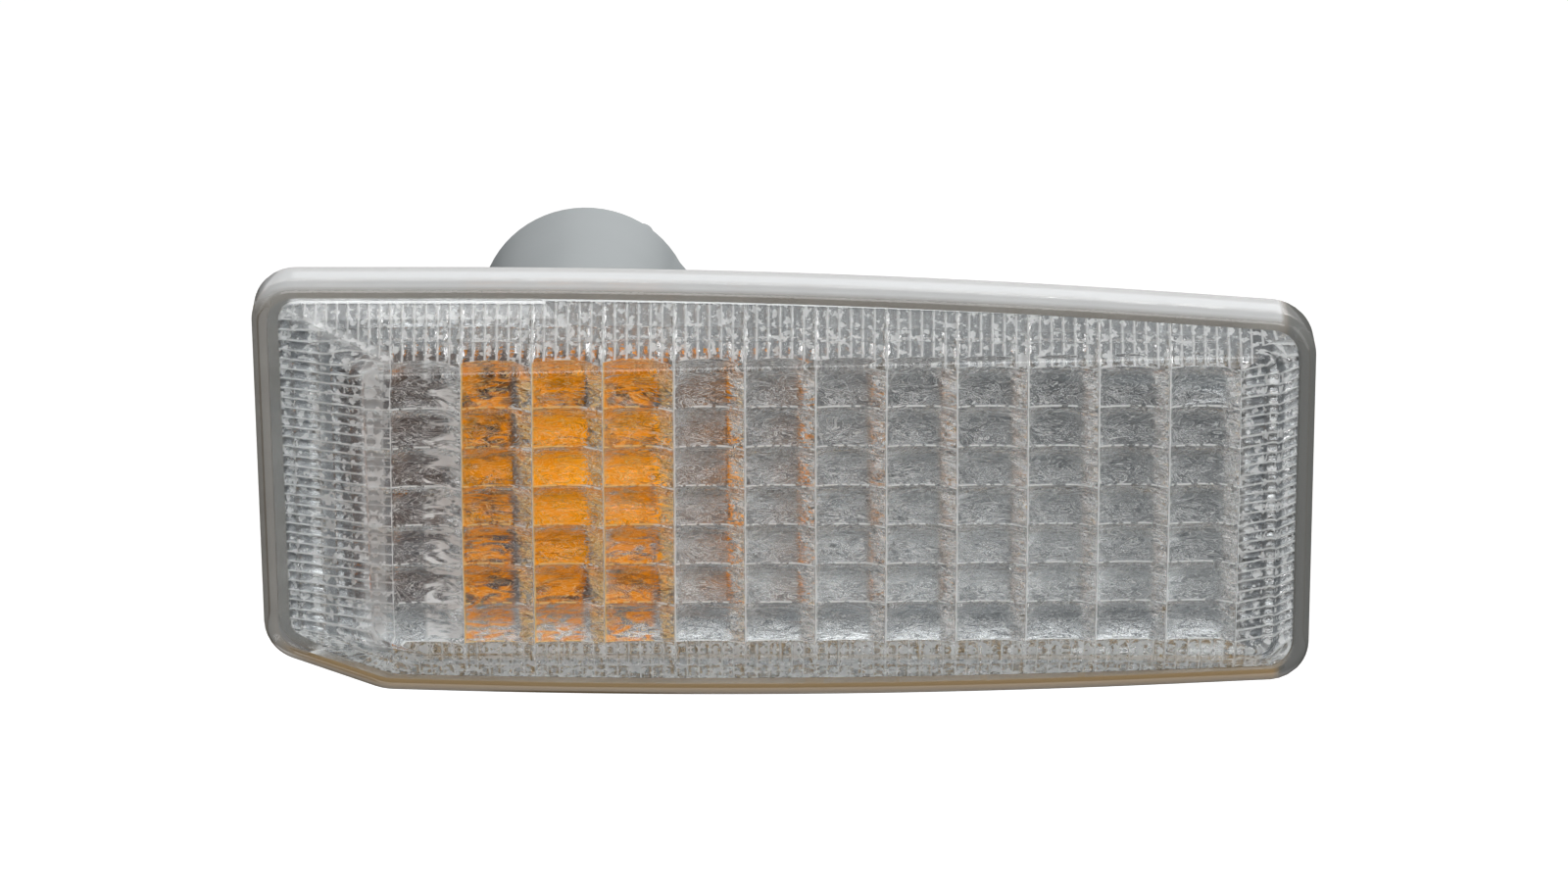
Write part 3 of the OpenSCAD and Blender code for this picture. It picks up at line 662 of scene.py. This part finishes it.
# how fine each noise is along the three axes, per metre, and the slant of the streaks in degrees
LINE_NOISE_STRETCH = (330, 300, 950)
RIPPLE_STRETCH = (260, 300, 1500)
STREAK_STRETCH, STREAK_SLANT = (330, 300, 1100), -22
BREAKS_SCALE = 1300
RIPPLE_DEPTH = 0.0002
# painted highlights on the back of the lens: white, and tinted amber near the bulb
HIGHLIGHT_WHITE = (0.97, 0.97, 0.96, 1)
HIGHLIGHT_BY_AMBER = (1.0, 0.68, 0.30, 1)
# painted shade: a grey see-through tone over the back where it is darker
PAINTED_SHADE_TONE = (0.36, 0.38, 0.40, 1)
# painted reflection of the bulb's amber on the back of the lens, with a painted glow
PAINTED_AMBER_REFLECTION = (0.95, 0.32, 0.0, 1)
PAINTED_AMBER_GLOW = (1.0, 0.27, 0.0, 1)
PAINTED_GLOW_STRENGTH = 0.75
# levels and widths, in the noise of the lines, of the painted highlight lines and the painted shade
# lines
PALE_LINES = [(0.43, 0.016), (0.6, 0.018)]
DARK_LINES = [(0.47, 0.02), (0.55, 0.02)]
# levels in the noise of the breaks or streaks where a mark is full, and where it is gone
LEVEL_BREAKS = 0.47
FACET_BREAKS, LOW_FACET_BREAKS = (0.60, 0.54), (0.54, 0.48)
STRIP_BREAKS, STRIP_LEAST = (0.54, 0.46), 0.45
COLUMN_STREAKS = (0.58, 0.44)
AMBER_STREAKS = (0.6, 0.42)
# shares of painted highlight and of painted shade in the moulded back
EDGE_HIGHLIGHT, LINE_HIGHLIGHT, FAN_HIGHLIGHT, VALLEY_HIGHLIGHT, FACET_HIGHLIGHT = 0.9, 0.65, 0.9, 0.65, 0.65
LOW_FACET_HIGHLIGHT = 0.9
LINE_SHADE, EYE_SHADE, OUTER_SHADE = 0.75, 0.3, 0.7
# widths of the painted highlights on the edges, as shares of a pillow or a rib, and of the mitre in
# millimetres
UPRIGHT_WIDTH, LEVEL_WIDTH, VALLEY_WIDTH = 0.019, 0.04, 0.16
MITRE_WIDTH = 1.1
# a pillow's eye of painted shade: its middle and its half width and height, as shares of the pillow
EYE_X, EYE_Z = 0.42, 0.66
EYE_HALF_X, EYE_HALF_Z = 0.36, 0.22
EYE_FADE = (0.6, 1.15)
# where the painted shade on the outermost band of the slopes is full and where it starts, as shares
# of the slope
OUTER_BAND = (0.975, 0.95)
# rays of painted highlight in a pillow's fan: how close they lie, how wide they are in their
# noise, how strong, and where they and the painted star glint at their start fade out, in
# millimetres
RAY_CLOSENESS, RAY_STRETCH, RAY_SCALE = 5, 0.2, 1.6
RAY_WIDTH = 0.034
RAY_HIGHLIGHT = 0.6
RAYS_FADE = (0.5, 4.8)
STAR_FADE, STAR_SQUAT = (0.12, 0.5), 1.2
# steps by which a pillow's number grows from column to column and from row to row
COLUMN_STEP, ROW_STEP = 3.7, 11.3
# the soft edges of the places below, in millimetres
PLACE_SOFT, COLUMN_SOFT, GRID_SOFT, AMBER_SOFT = 0.3, 0.5, 0.5, 0.02
# places along the lamp in millimetres, with the share by which painted shade darkens the back there
DARK_PLACES = [(-46.1, -43.6, 0.5), (-41.8, -38.8, 0.35), (42.9, 44.3, 0.6)]
# places where painted highlights make the back paler, and their shares
PALE_STRIP = (-38.2, -36.8)
PALE_COLUMN = (GRID_LEFT + 3.2, GRID_LEFT + 6.2)
STRIP_HIGHLIGHT, COLUMN_HIGHLIGHT = 0.85, 0.95
MITRE_SLOPE = (ledge_corner(0).y - GRID_TOP) / (GRID_LEFT - ledge_corner(0).x)
# the columns behind which the bulb lies, and the share of the painted reflection of its amber, with
# a painted glow, on their back
AMBER_COLUMNS = (GRID_LEFT + PITCH_X, GRID_LEFT + 4 * PITCH_X)
AMBER_SHARE = 0.75
# where in a pillow the painted amber is full and where it is gone, and how ragged the streaks make
# that
AMBER_EDGE, AMBER_RAGGED = (0.66, 0.74), 0.3


def pillow_number(f, x, z):
    """A number that differs from pillow to pillow."""
    column = f.calc("FLOOR", f.calc("DIVIDE", f.minus(x, GRID_LEFT), PITCH_X))
    row = f.calc("FLOOR", f.calc("DIVIDE", f.minus(z, GRID_BOTTOM), PITCH_Z))
    return f.plus(f.times(column, COLUMN_STEP), f.times(row, ROW_STEP))


def pillow_fan(f, u, v, x, z):
    """Painted highlights: rays that fan out from the middle of each pillow's left side, where a
    painted star glint lies.
    """
    along = f.times(u, PITCH_X)
    up = f.times(f.minus(v, 0.5), PITCH_Z)
    far = f.calc("SQRT", f.plus(f.times(along, along), f.times(up, up)))
    turn = f.times(f.calc("ARCTAN2", up, along), RAY_CLOSENESS)
    sector = f.node("CombineXYZ", {0: turn, 1: f.times(far, RAY_STRETCH),
                                   2: pillow_number(f, x, z)})
    rays = f.band(f.noise(sector.outputs[0], RAY_SCALE), 0.5, RAY_WIDTH)
    star = f.fade(f.plus(f.times(along, STAR_SQUAT), f.calc("ABSOLUTE", up)), *STAR_FADE)
    return f.most(f.times(rays, f.fade(far, *RAYS_FADE), RAY_HIGHLIGHT), star)


def pillow_eye(f, u, v):
    """Painted shade: a darker eye in the upper half of each pillow."""
    across = f.calc("DIVIDE", f.minus(u, EYE_X), EYE_HALF_X)
    tall = f.calc("DIVIDE", f.minus(v, EYE_Z), EYE_HALF_Z)
    return f.fade(f.plus(f.times(across, across), f.calc("ABSOLUTE", tall)), *EYE_FADE)


def moulded_back():
    """The inside of the lens: clear, with lines of painted shade and painted highlight, painted
    highlights on its edges, and a painted reflection and glow of the bulb's amber near it."""
    f = Finish("clear_lens_back")
    u, v, _ = f.parts(f.node("UVMap", uv_map="pillow").outputs["UV"])
    x, _, z = f.parts(f.place(MILLIMETRES))
    inside = f.calc("GREATER_THAN", u, -0.5)
    outside = f.minus(1, inside)
    breaks = f.noise(f.place(), BREAKS_SCALE)
    line_noise = f.noise(f.place(LINE_NOISE_STRETCH), detail=2, distortion=2.2)
    streaks = f.noise(f.place(STREAK_STRETCH, STREAK_SLANT), detail=3, distortion=1.6)

    # painted shade: dark lines, eyes, the outermost band of the slopes, and places along the lamp
    dark_lines = f.most(*(f.band(line_noise, *line) for line in DARK_LINES))
    dark = f.most(f.times(dark_lines, inside, LINE_SHADE),
                  f.times(pillow_eye(f, u, v), inside, EYE_SHADE),
                  f.times(f.fade(v, *OUTER_BAND), outside, OUTER_SHADE),
                  *(f.times(f.between(x, low, high, PLACE_SOFT), share)
                    for low, high, share in DARK_PLACES))

    # painted highlights: the edges of pillows and ribs, pale lines, fans, and some of the small
    # facets
    upright = f.band(f.fold(u), 0, UPRIGHT_WIDTH)
    level = f.times(f.band(f.fold(v), 0, LEVEL_WIDTH),
                    f.calc("GREATER_THAN", breaks, LEVEL_BREAKS))
    pale_lines = f.most(*(f.band(line_noise, *line) for line in PALE_LINES))
    valley = f.band(f.fold(f.plus(u, RIB_SHIFT)), 0, VALLEY_WIDTH)
    # the painted highlight strip beside the grid goes on as the mitre to the upper left corner
    strip = f.times(f.between(x, *PALE_STRIP, PLACE_SOFT),
                    f.between(z, GRID_BOTTOM, GRID_TOP, GRID_SOFT))
    off_mitre = f.plus(f.minus(z, GRID_TOP), f.times(f.minus(x, GRID_LEFT), MITRE_SLOPE))
    mitre = f.times(f.band(off_mitre, 0, MITRE_WIDTH),
                    f.fade(x, GRID_LEFT, GRID_LEFT + GRID_SOFT), outside)
    strip = f.times(f.most(strip, mitre), f.most(f.fade(breaks, *STRIP_BREAKS), STRIP_LEAST))
    below = f.times(f.fade(z, GRID_BOTTOM - PLACE_SOFT, GRID_BOTTOM), outside)
    column = f.times(f.between(x, *PALE_COLUMN, COLUMN_SOFT), inside,
                     f.fade(streaks, *COLUMN_STREAKS))
    white = f.most(f.times(f.most(upright, level), inside, EDGE_HIGHLIGHT),
                   f.times(pale_lines, inside, LINE_HIGHLIGHT),
                   f.times(pillow_fan(f, u, v, x, z), inside, FAN_HIGHLIGHT),
                   f.times(valley, outside, VALLEY_HIGHLIGHT),
                   f.times(strip, STRIP_HIGHLIGHT),
                   f.times(f.fade(breaks, *FACET_BREAKS), outside, FACET_HIGHLIGHT),
                   f.times(f.fade(breaks, *LOW_FACET_BREAKS), below, LOW_FACET_HIGHLIGHT),
                   f.times(column, COLUMN_HIGHLIGHT))

    # painted amber reflection and glow near the bulb, in slanting streaks with a ragged right edge
    ragged = f.plus(u, f.times(f.minus(streaks, 0.5), AMBER_RAGGED))
    near = f.times(f.fade(ragged, *AMBER_EDGE), inside,
                   f.between(x, *AMBER_COLUMNS, AMBER_SOFT))
    painted_amber = f.times(f.fade(streaks, *AMBER_STREAKS), AMBER_SHARE, near)

    ripple = f.noise(f.place(RIPPLE_STRETCH), detail=3, distortion=1.2)
    bump = f.node("Bump", {"Strength": 1, "Distance": RIPPLE_DEPTH, "Height": ripple})
    rippled = glass(f, Normal=bump.outputs["Normal"])
    # painted shade: the grey see-through tone laid over the glass
    skin = f.mix(dark, rippled, f.shader("BsdfTransparent", {"Color": PAINTED_SHADE_TONE}))
    # painted amber reflection and painted glow
    amber = f.mix(0.5, f.shader("BsdfDiffuse", {"Color": PAINTED_AMBER_REFLECTION}),
                  f.shader("Emission", {"Color": PAINTED_AMBER_GLOW, "Strength": PAINTED_GLOW_STRENGTH}))
    skin = f.mix(painted_amber, skin, amber)
    # painted highlights, tinted amber near the bulb
    tone = f.blend(near, HIGHLIGHT_WHITE, HIGHLIGHT_BY_AMBER)
    painted_highlight = f.mix(0.5, f.shader("BsdfDiffuse", {"Color": tone}),
                 f.shader("BsdfTranslucent", {"Color": tone}))
    return lit_through(f, f.mix(white, skin, painted_highlight))


# haze of the rim: its share where it faces forwards, and what is added above and below
RIM_HAZE, RIM_HAZE_ABOVE, RIM_HAZE_BELOW = 0.3, 0.1, 0.3
RIM_LOW = (0.27, 0.23, 0.18)
RIM_HIGH = (0.40, 0.36, 0.30)
RIM_BELOW = (0.42, 0.31, 0.18, 1)
# painted highlight on the faces of the rim that look up
RIM_HIGHLIGHT = (0.84, 0.845, 0.85, 1)
# where the gasket fully shows through the skirt and where no more, in millimetres, the share of
# its haze, and its tone
GASKET_BELOW = (-16.5, -14.5)
GASKET_RIGHT = (46.4, 45.6)
GASKET_HAZE = 0.62
GASKET_TAUPE = (0.42, 0.29, 0.15, 1)
# painted shade on the right side of the skirt
RIGHT_SIDE_SHADE = (0.16, 0.16, 0.15, 1)
# how far up or down a face of the rim looks where the painted highlight above, or the tone
# below, is full, and where it is gone
RIM_UPWARD, RIM_DOWNWARD = (0.75, 0.25), (-0.75, -0.25)


def rim_plastic():
    """The rim and skirt: part glass, part haze with the tone of the gasket behind it, with a
    painted highlight where they face up and painted shade on the right side.
    """
    f = Finish("clear_lens_rim")
    x, _, z = f.parts(f.place(MILLIMETRES))
    facing_z = f.facing()["Z"]
    # the edge that faces up is painted whiter, as a highlight
    upward = f.fade(facing_z, *RIM_UPWARD)
    downward = f.fade(facing_z, *RIM_DOWNWARD)
    # the gasket shows through the lower and the right side of the skirt, and painted shade
    # darkens the right side
    right_side = f.fade(x, *GASKET_RIGHT)
    gasket = f.most(f.fade(z, *GASKET_BELOW), right_side)
    tone = f.tone(f.noise(f.place((1, 1, 3)), 130), RIM_LOW, RIM_HIGH)
    for share, colour in ((downward, RIM_BELOW), (upward, RIM_HIGHLIGHT), (gasket, GASKET_TAUPE),
                          (right_side, RIGHT_SIDE_SHADE)):
        tone = f.blend(share, tone, colour)
    share = f.plus(f.times(upward, RIM_HAZE_ABOVE), RIM_HAZE, f.times(downward, RIM_HAZE_BELOW))
    share = f.most(share, f.times(gasket, GASKET_HAZE))
    return lit_through(f, f.mix(share, glass(f), f.shader("BsdfDiffuse", {"Color": tone})))


CLOUD_SCALE, GRAIN_SCALE = 55, 2600
GRAIN_DEPTH = 0.00004


def moulded_skin(f, low, high, roughness, grain):
    """Grey moulded plastic: faint clouding, fine grain and uneven gloss."""
    clouds = f.noise(f.place(), CLOUD_SCALE, detail=4)
    bump = f.node("Bump", {"Strength": grain, "Distance": GRAIN_DEPTH,
                           "Height": f.noise(f.place(), GRAIN_SCALE)})
    gloss = f.spread(clouds, 0, 1, roughness - 0.06, roughness + 0.08)
    return f.shader("BsdfPrincipled", {"Base Color": f.tone(clouds, low, high),
                                       "Roughness": gloss, "IOR": PLASTIC_IOR,
                                       "Normal": bump.outputs["Normal"]})


def moulded_plastic(name, low, high, roughness, grain):
    f = Finish(name)
    return f.done(moulded_skin(f, low, high, roughness, grain))


# axis of the socket tube
TUBE_X, TUBE_Z = -19.7, -1.2
# a wall that faces forwards counts as inside up to this far past the axis, in metres
LINING_REACH = 0.03
LINING_METAL = 0.75
LINING_SCALE = 90
LINING_ROUGHNESS, LINING_UNEVEN = 0.22, 0.05
LINING_LOW = (0.46, 0.48, 0.49)
LINING_HIGH = (0.60, 0.62, 0.63)
# the bottom of the bowl is polished by this much, and its left wall is duller by a share and
# darker by painted shade
BOTTOM_POLISH = 0.14
BOTTOM_TONE = (0.86, 0.86, 0.85, 1)
WALL_DULL = 0.8
WALL_SHADE = (0.35, 0.35, 0.36, 1)


def housing_plastic():
    """Satin grey plastic, with a bright lining where its walls face the inside of the bowl, and
    painted shade on the lining's left wall.
    """
    f = Finish("housing_grey")
    outside = moulded_skin(f, (0.30, 0.325, 0.33), (0.35, 0.375, 0.38), 0.42, 0.25)
    x, _, z = f.parts(f.place())
    facing_x, facing_y, facing_z = f.facing()
    inward = f.plus(f.times(f.minus(TUBE_X * MM, x), facing_x),
                    f.times(f.minus(TUBE_Z * MM, z), facing_z))
    lined = f.calc("GREATER_THAN", f.minus(inward, f.times(facing_y, LINING_REACH)), 0)
    bottom = f.calc("GREATER_THAN", facing_z, 0.5)
    wall = f.calc("GREATER_THAN", facing_x, 0.5)
    metal_share = f.times(f.plus(f.times(bottom, 1 - LINING_METAL), LINING_METAL),
                          f.minus(1, f.times(wall, WALL_DULL)))
    streaks = f.noise(f.place(), LINING_SCALE)
    tone = f.tone(streaks, LINING_LOW, LINING_HIGH)
    # painted shade on the left wall
    tone = f.blend(wall, tone, WALL_SHADE, "MULTIPLY")
    tone = f.blend(bottom, tone, BOTTOM_TONE)
    gloss = f.spread(streaks, 0, 1, LINING_ROUGHNESS - LINING_UNEVEN,
                     LINING_ROUGHNESS + LINING_UNEVEN)
    lining = f.shader("BsdfPrincipled", {"Metallic": metal_share, "Base Color": tone,
                                         "Roughness": f.minus(gloss, f.times(
                                             bottom, BOTTOM_POLISH))})
    return f.done(f.mix(lined, outside, lining))


DRAWN_LINES_SCALE = 600


def metal(name, low, high, roughness, stretch):
    """Bare metal with fine drawn lines."""
    f = Finish(name)
    lines = f.noise(f.place(stretch), DRAWN_LINES_SCALE, detail=3)
    gloss = f.spread(lines, 0, 1, roughness - 0.06, roughness + 0.1)
    return f.done(f.shader("BsdfPrincipled", {"Metallic": 1, "Base Color": f.tone(lines, low, high),
                                              "Roughness": gloss}))


def amber_lacquer():
    """The bulb's amber coat, with a faint painted glow."""
    f = Finish("amber_lacquer")
    tone = f.tone(f.noise(f.place(), 140, detail=3), (0.93, 0.29, 0.0), (1.0, 0.39, 0.0))
    return f.done(f.shader("BsdfPrincipled", {
        "Base Color": tone, "Roughness": 0.12, "IOR": PLASTIC_IOR, "Specular IOR Level": 0.12,
        "Emission Color": tone, "Emission Strength": 0.2}))


def paint(name, mat):
    """Puts one finish on all slots of a CAD piece."""
    for slot in nodes[name].material_slots:
        slot.link = "OBJECT"
        slot.material = mat


paint("housing", housing_plastic())
paint("bulb_holder", moulded_plastic("holder_grey", (0.33, 0.35, 0.36), (0.38, 0.40, 0.41),
                                     0.5, 0.25))
paint("rim_gasket", moulded_plastic("gasket_rubber", (0.20, 0.175, 0.145), (0.26, 0.23, 0.19),
                                    0.75, 0.5))
paint("holder_seal", moulded_plastic("seal_rubber", (0.02, 0.02, 0.022), (0.035, 0.035, 0.037),
                                     0.7, 0.5))
paint("retaining_spring", metal("spring_steel", (0.45, 0.46, 0.47), (0.62, 0.63, 0.64),
                                0.3, (1, 1, 8)))
brass = metal("contact_brass", (0.62, 0.42, 0.16), (0.80, 0.58, 0.26), 0.3, (8, 1, 8))
wire = metal("lead_wire", (0.50, 0.49, 0.47), (0.66, 0.65, 0.62), 0.28, (1, 1, 1))
for side in ("left", "right"):
    paint("contact_" + side, brass)
    paint("bulb_lead_" + side, wire)
paint("bulb_filament", metal("filament_wire", (0.16, 0.16, 0.17), (0.26, 0.26, 0.27),
                             0.35, (1, 1, 1)))
paint("bulb_glass", amber_lacquer())

lens = build_lens()
for finish in (front_plastic(), moulded_back(), rim_plastic()):
    lens.data.materials.append(finish)
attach(lens, "lamp")
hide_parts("lens")

# the camera stands this many degrees above the lamp and this many metres from it
CAMERA_RISE = 20
CAMERA_DISTANCE = 0.7
LENS_MIDDLE_Y = -0.004
AIM_HEIGHT = 0.00435
SENSOR_WIDTH = 36
# focal length and width of the photo, both in its pixels
PHOTO_FOCAL, PHOTO_WIDTH = 7700, 1600
NEAREST, FARTHEST = 0.05, 20


def camera():
    """The photo's view."""
    data = bpy.data.cameras.new("photo_camera")
    data.sensor_width = SENSOR_WIDTH
    data.lens = SENSOR_WIDTH * PHOTO_FOCAL / PHOTO_WIDTH
    data.clip_start = NEAREST
    data.clip_end = FARTHEST
    obj = bpy.data.objects.new("photo_camera", data)
    bpy.context.collection.objects.link(obj)
    rise = math.radians(CAMERA_RISE)
    place = Vector((0, LENS_MIDDLE_Y - CAMERA_DISTANCE * math.cos(rise),
                    CAMERA_DISTANCE * math.sin(rise)))
    aim = Vector((0, LENS_MIDDLE_Y, AIM_HEIGHT))
    obj.location = place
    obj.rotation_euler = (aim - place).to_track_quat("-Z", "Y").to_euler()
    bpy.context.scene.camera = obj


def softbox(name, place, size, power):
    """A soft lamp aimed at the origin."""
    data = bpy.data.lights.new(name, "AREA")
    data.shape = "RECTANGLE"
    data.size, data.size_y = size
    data.energy = power
    obj = bpy.data.objects.new(name, data)
    bpy.context.collection.objects.link(obj)
    obj.location = place
    to_origin = Vector((0, 0, 0)) - Vector(place)
    obj.rotation_euler = to_origin.to_track_quat("-Z", "Y").to_euler()
    obj.visible_glossy = name != NOT_IN_GLOSS


# brightness of the room in front and below, behind and above, and of its light on the lamp
ROOM_DARK = 0.02
ROOM_BEHIND = 1.0
ROOM_ABOVE = 0.95
WORLD_SOFT = 0.3
SOFT_TONE = (0.93, 0.96, 1, 1)
# how high and how far back a direction points where the room starts and ends to brighten
BRIGHT_ABOVE, BRIGHT_BEHIND = (0.05, 0.6), (-0.2, 0.9)
# each softbox's place and size in metres, and its power in watts
SOFTBOXES = {
    "softbox_above": ((0.3, -0.2, 0.8), (0.9, 0.5), 4.9),
    "softbox_behind": ((0.2, 1.1, 0.5), (0.8, 0.5), 0.9),
    "softbox_front": ((0, -1.1, 0.5), (0.9, 0.4), 4),
    "softbox_left": ((-0.8, -0.5, 0.3), (0.4, 0.8), 1.2),
    "softbox_right": ((0.8, -0.6, 0.25), (0.4, 0.8), 4)}
NOT_IN_GLOSS = "softbox_above"


def studio():
    """White to the camera. In gloss and glass the room is white above, pale behind and dark in
    front and below, as round a lamp that hangs over a table."""
    world = bpy.data.worlds.new("studio")
    bpy.context.scene.world = world
    w = Nodes(world)
    path = w.node("LightPath").outputs
    _, way_y, way_z = w.parts(w.node("TexCoord").outputs["Generated"])
    room = w.most(w.spread(way_z, *BRIGHT_ABOVE, 0, ROOM_ABOVE),
                  w.spread(way_y, *BRIGHT_BEHIND, ROOM_DARK, ROOM_BEHIND), path["Is Camera Ray"])
    soft = w.shader("Background", {"Color": SOFT_TONE, "Strength": WORLD_SOFT})
    white = w.shader("Background", {"Strength": room})
    seen = w.most(path["Is Camera Ray"], path["Is Glossy Ray"], path["Is Transmission Ray"])
    w.node("OutputWorld", {0: w.mix(seen, soft, white)})
    for name, (place, size, power) in SOFTBOXES.items():
        softbox(name, place, size, power)


FLOOR_HEIGHT = -0.11
FLOOR_REACH = 6
# own light of the floor for the camera, and how bright it is in gloss and through glass
FLOOR_LIFT, FLOOR_IN_GLOSS, FLOOR_IN_GLASS = 0.62, 0.06, 0.27


def studio_floor():
    """Pale floor: near white to the camera, darker through glass and darkest in gloss."""
    bm = bmesh.new()
    bmesh.ops.create_grid(bm, x_segments=2, y_segments=2, size=FLOOR_REACH)
    bmesh.ops.translate(bm, verts=bm.verts, vec=(0, 0, FLOOR_HEIGHT))
    obj = mesh_object("studio_floor", bm)
    f = Finish("pale_floor")
    path = f.node("LightPath").outputs
    pale = f.shader("AddShader", {0: f.shader("BsdfDiffuse", {"Color": (0.62, 0.61, 0.59, 1)}),
                                  1: f.shader("Emission", {"Strength": FLOOR_LIFT})})
    in_gloss = f.shader("Emission", {"Color": (0.9, 0.91, 0.92, 1), "Strength": FLOOR_IN_GLOSS})
    in_glass = f.shader("Emission", {"Color": (0.9, 0.92, 0.93, 1), "Strength": FLOOR_IN_GLASS})
    unseen = f.mix(path["Is Transmission Ray"], in_gloss, in_glass)
    obj.data.materials.append(f.done(f.mix(path["Is Camera Ray"], unseen, pale)))


camera()
studio_floor()
studio()
scene = bpy.context.scene
scene.view_settings.view_transform = "Standard"
